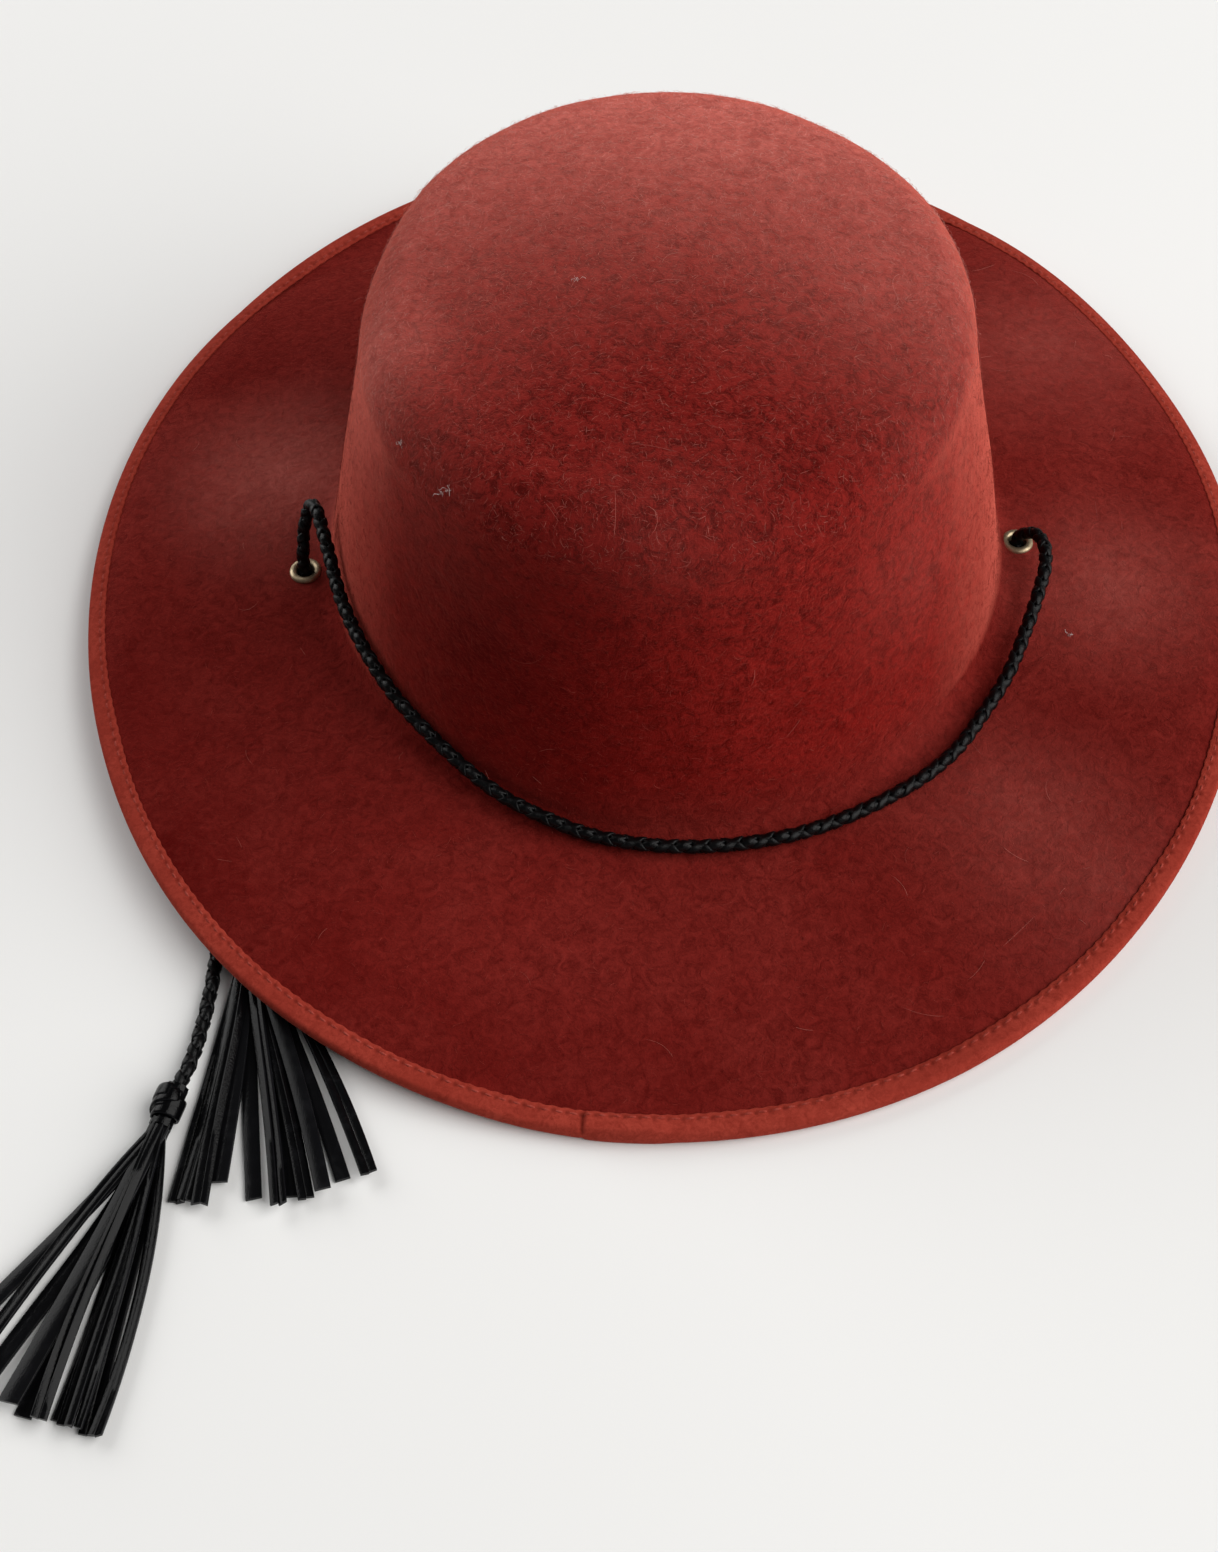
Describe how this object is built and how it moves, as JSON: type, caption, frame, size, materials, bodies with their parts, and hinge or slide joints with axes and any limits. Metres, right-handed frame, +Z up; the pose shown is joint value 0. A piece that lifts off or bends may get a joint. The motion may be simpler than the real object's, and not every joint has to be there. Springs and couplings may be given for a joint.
{
  "type": "felt hat with a braided chin cord",
  "caption": "Wide-brimmed felt hat with a round flat-topped crown, a taped brim edge, brass eyelets and a braided leather chin cord that ends in strip tassels.",
  "frame": {"origin": "on the surface that the hat rests on, under the middle of the brim, cord and tassels left out", "axes": "+Z up through the crown, +Y towards the front of the hat, +X to the right seen from behind"},
  "size_m": [0.3127, 0.4165, 0.106],
  "materials": {
    "felt": "napped wool felt, rust red",
    "tape": "folded woven tape, lighter rust red",
    "brass": "pale aged brass",
    "cord": "round braided leather, black",
    "tassel": "flat cut leather strips, black"
  },
  "bodies": {
    "root": {"felt_body": "felt", "brim_binding": "tape", "eyelet_left": "brass", "eyelet_right": "brass", "chin_cord_loop": "cord", "cord_end_left": "cord", "cord_end_right": "cord", "tassel_left": "tassel", "tassel_right": "tassel", "tassel_wrap_left": "tassel", "tassel_wrap_right": "tassel"}
  },
  "joints": []
}
